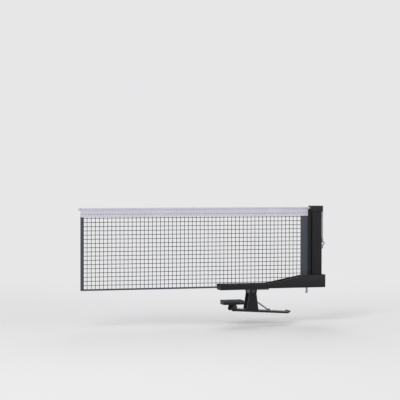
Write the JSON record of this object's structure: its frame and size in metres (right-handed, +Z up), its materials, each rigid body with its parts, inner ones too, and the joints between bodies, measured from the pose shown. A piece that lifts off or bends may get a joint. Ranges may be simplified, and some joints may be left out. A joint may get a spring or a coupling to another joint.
{
  "type": "table tennis net clamp",
  "caption": "Clip-on table tennis net support: sprung table clamp with swivelling pad, height-adjustable post, tension cord and hook, and the end stretch of the net.",
  "frame": {"origin": "on the underside of the rubber seat strip, where the net's plane crosses the table's edge at the height of the playing surface", "axes": "+X outwards from the table along the net, +Y across the net away from the viewer, +Z up"},
  "size_m": [0.473, 0.0284, 0.2007],
  "materials": {
    "black_steel": "satin black powder coat on pressed steel",
    "dark_steel": "blackened steel rivets and pins",
    "zinc_steel": "zinc-plated steel",
    "spring_steel": "drawn spring wire, satin",
    "black_plastic": "fine-textured black moulded plastic",
    "nylon": "natural nylon",
    "black_rubber": "matt black rubber",
    "grey_rubber": "matt blue-grey rubber",
    "net_twine": "blue-grey nylon twine netting, knotted",
    "white_band": "white woven polyester tape, stitched",
    "grey_band": "blue-grey woven polyester tape",
    "black_tape": "black woven tape",
    "white_cord": "white braided polyester cord"
  },
  "bodies": {
    "arm": {"arm_channel": "black_steel", "seat_pad": "black_rubber", "post_socket": "black_plastic", "socket_screws": "zinc_steel", "height_nut": "zinc_steel", "pivot_pin": "dark_steel", "torsion_spring": "spring_steel"},
    "lever": {"release_lever": "black_steel", "pivot_bracket": "black_steel", "bracket_rivets": "dark_steel", "pivot_sleeve": "zinc_steel", "pivot_washers": "nylon", "swivel_bushes": "black_plastic"},
    "pad": {"pad_shoe": "black_steel", "pad_rubber": "grey_rubber", "swivel_pin": "dark_steel"},
    "post": {"post_profile": "black_steel", "post_cap": "black_plastic", "post_foot": "black_plastic", "foot_pin": "zinc_steel", "net_mesh": "net_twine", "net_top_band": "white_band", "net_side_band": "grey_band", "net_end_binding": "grey_band", "net_bottom_tape": "net_twine", "net_edge_tape": "black_tape", "net_edge_rod": "zinc_steel", "tension_cord": "white_cord", "cord_stop": "white_cord"},
    "screw": {"height_screw": "zinc_steel", "screw_clip": "zinc_steel"},
    "hook": {"tension_hook": "spring_steel"}
  },
  "joints": [
    {"name": "lever_pivot", "type": "hinge", "parent": "arm", "child": "lever", "pos_m": [0.0151, 0, -0.0033], "axis": [0, -1, 0], "range_deg": [-12, 20], "stiffness_Nm_per_rad": 2, "deforming": ["torsion_spring"]},
    {"name": "pad_swivel", "type": "hinge", "parent": "lever", "child": "pad", "pos_m": [-0.0198, 0, -0.0317], "axis": [0, -1, 0], "range_deg": [-20, 15]},
    {"name": "post_slide", "type": "slide", "parent": "arm", "child": "post", "axis": [0, 0, 1], "range_m": [0, 0.006]},
    {"name": "screw_turn", "type": "hinge", "parent": "post", "child": "screw", "pos_m": [0.1252, 0, 0], "axis": [0, 0, 1], "range_deg": [0, 3087]},
    {"name": "hook_swing", "type": "hinge", "parent": "post", "child": "hook", "pos_m": [0.157, 0, 0.0841], "axis": [0, -1, 0], "range_deg": [0, 65]}
  ],
  "couplings": [
    {"joint": "screw_turn", "follows": "post_slide", "rad_per_m": 8976}
  ]
}
